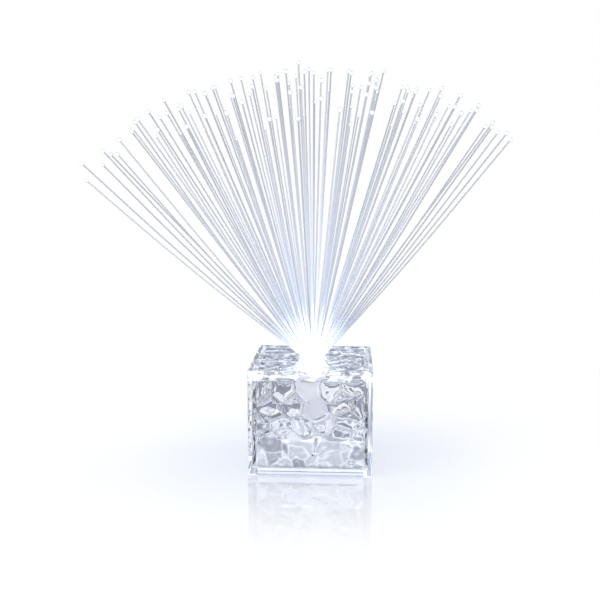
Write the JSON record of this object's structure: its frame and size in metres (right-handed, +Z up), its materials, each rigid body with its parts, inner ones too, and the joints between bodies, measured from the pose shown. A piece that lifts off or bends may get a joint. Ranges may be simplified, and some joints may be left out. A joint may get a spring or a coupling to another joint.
{
  "type": "fiber optic lamp",
  "caption": "Battery table lamp: a spray of light-carrying plastic fibers fans out of a clear block with a pebbled inner relief, lit by an LED over a switched battery base.",
  "frame": {"origin": "middle of the square face that the lamp stands on", "axes": "+Z up, +X to the right of the block as seen from the front, front towards -Y; the spray leans further to -X than to +X"},
  "size_m": [0.2117, 0.1761, 0.1979],
  "materials": {
    "clear_plastic": "clear, polished outside, pebbled inside",
    "white_plastic": "translucent white",
    "fiber_plastic": "clear acrylic fiber, lit from its foot",
    "led_lens": "clear epoxy",
    "grey_plastic": "moulded, satin",
    "tinned_metal": "tinned",
    "cell_wrap": "satin sleeve",
    "board_green": "solder mask",
    "black_plastic": "moulded",
    "wire_jacket": "PVC"
  },
  "bodies": {
    "lamp": {"cube_shell": "clear_plastic", "ferrule": "white_plastic", "fibers_ring_0": "fiber_plastic", "fibers_ring_1": "fiber_plastic", "fibers_ring_2": "fiber_plastic", "fibers_ring_3": "fiber_plastic", "fibers_ring_4": "fiber_plastic", "fibers_ring_5": "fiber_plastic", "fibers_ring_6": "fiber_plastic", "led_holder": "white_plastic", "led": "led_lens", "led_leads": "tinned_metal", "base_housing": "grey_plastic", "base_cover": "grey_plastic", "battery_1": "cell_wrap", "battery_2": "cell_wrap", "battery_3": "cell_wrap", "positive_contact": "tinned_metal", "negative_contact": "tinned_metal", "bridge_contact_left": "tinned_metal", "bridge_contact_right": "tinned_metal", "circuit_board": "board_green", "resistor": "black_plastic", "switch_body": "black_plastic", "switch_pins": "tinned_metal", "switch_wires": "wire_jacket", "base_screws": "tinned_metal"},
    "door": {"battery_door": "grey_plastic"},
    "knob": {"switch_knob": "black_plastic"}
  },
  "joints": [
    {"name": "battery_door_hinge", "type": "hinge", "parent": "lamp", "child": "door", "pos_m": [-0.0226, -0.007, 0.001], "axis": [0, 1, 0], "range_deg": [0, 45]},
    {"name": "switch_slide", "type": "slide", "parent": "lamp", "child": "knob", "axis": [1, 0, 0], "range_m": [0, 0.002]}
  ]
}
